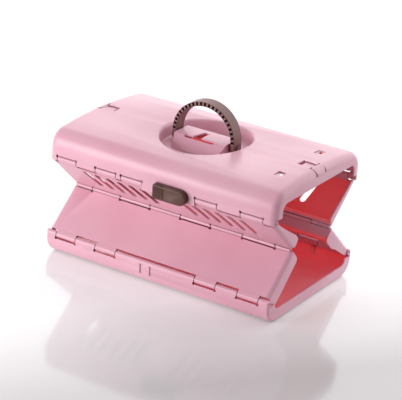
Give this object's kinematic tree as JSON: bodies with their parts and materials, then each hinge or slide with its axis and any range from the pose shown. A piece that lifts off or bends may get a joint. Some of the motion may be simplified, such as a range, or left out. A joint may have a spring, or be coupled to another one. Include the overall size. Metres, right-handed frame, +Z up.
{
  "type": "collapsible carrying case",
  "caption": "Folding carrying case: deep roof and base trays joined by creased side walls, with a bail handle, side lock sliders and end latches, open at both ends.",
  "frame": {"origin": "middle of the base's underside, on the floor", "axes": "+X along the case towards the end with two door pockets in the roof, +Y to the back, +Z up"},
  "size_m": [0.5068, 0.342, 0.336],
  "materials": {
    "pink_plastic": "satin moulded",
    "brown_plastic": "fine grained",
    "steel": "drawn rod"
  },
  "bodies": {
    "base": {"base_tray": "pink_plastic", "front_base_rod": "steel", "back_base_rod": "steel"},
    "front_lower": {"front_lower_panel": "pink_plastic"},
    "front_upper": {"front_upper_panel": "pink_plastic", "front_crease_rod": "steel"},
    "roof": {"roof_shell": "pink_plastic", "front_roof_rod": "steel", "back_roof_rod": "steel", "handle_pin_left": "brown_plastic", "handle_pin_right": "brown_plastic", "left_latch_pin": "steel", "right_latch_pin": "steel"},
    "back_upper": {"back_upper_panel": "pink_plastic", "back_crease_rod": "steel"},
    "back_lower": {"back_lower_panel": "pink_plastic"},
    "handle": {"carry_handle": "brown_plastic"},
    "front_lock": {"front_lock_slider": "brown_plastic", "front_lock_keeper": "brown_plastic"},
    "back_lock": {"back_lock_slider": "brown_plastic", "back_lock_keeper": "brown_plastic"},
    "left_latch": {"left_end_latch": "pink_plastic"},
    "right_latch": {"right_end_latch": "pink_plastic"}
  },
  "joints": [
    {"name": "fold", "type": "hinge", "parent": "base", "child": "front_lower", "pos_m": [0, -0.1527, 0.044], "axis": [-1, 0, 0], "range_deg": [-48, 41.3]},
    {"name": "front_crease", "type": "hinge", "parent": "front_lower", "child": "front_upper", "pos_m": [0, -0.07473, 0.123], "axis": [1, 0, 0], "range_deg": [-96, 82.6]},
    {"name": "front_roof_hinge", "type": "hinge", "parent": "front_upper", "child": "roof", "pos_m": [0, -0.1527, 0.202], "axis": [-1, 0, 0], "range_deg": [-48, 41.3]},
    {"name": "back_roof_hinge", "type": "hinge", "parent": "roof", "child": "back_upper", "pos_m": [0, 0.1527, 0.202], "axis": [-1, 0, 0], "range_deg": [-48, 41.3]},
    {"name": "back_base_hinge", "type": "hinge", "parent": "base", "child": "back_lower", "pos_m": [0, 0.1527, 0.044], "axis": [1, 0, 0], "range_deg": [-48, 41.3]},
    {"name": "handle_swing", "type": "hinge", "parent": "roof", "child": "handle", "pos_m": [0, 0, 0.256], "axis": [1, 0, 0], "range_deg": [-90, 90]},
    {"name": "front_lock_slide", "type": "slide", "parent": "roof", "child": "front_lock", "axis": [1, 0, 0], "range_m": [-0.024, 0]},
    {"name": "back_lock_slide", "type": "slide", "parent": "roof", "child": "back_lock", "axis": [-1, 0, 0], "range_m": [-0.024, 0]},
    {"name": "left_latch_pivot", "type": "hinge", "parent": "roof", "child": "left_latch", "pos_m": [-0.222, 0, 0.2595], "axis": [0, 1, 0], "range_deg": [0, 15]},
    {"name": "right_latch_pivot", "type": "hinge", "parent": "roof", "child": "right_latch", "pos_m": [0.222, 0, 0.2595], "axis": [0, -1, 0], "range_deg": [0, 15]}
  ],
  "couplings": [
    {"joint": "front_crease", "follows": "fold", "ratio": 2},
    {"joint": "front_roof_hinge", "follows": "fold", "ratio": 1},
    {"joint": "back_roof_hinge", "follows": "fold", "ratio": 1},
    {"joint": "back_base_hinge", "follows": "fold", "ratio": 1}
  ]
}
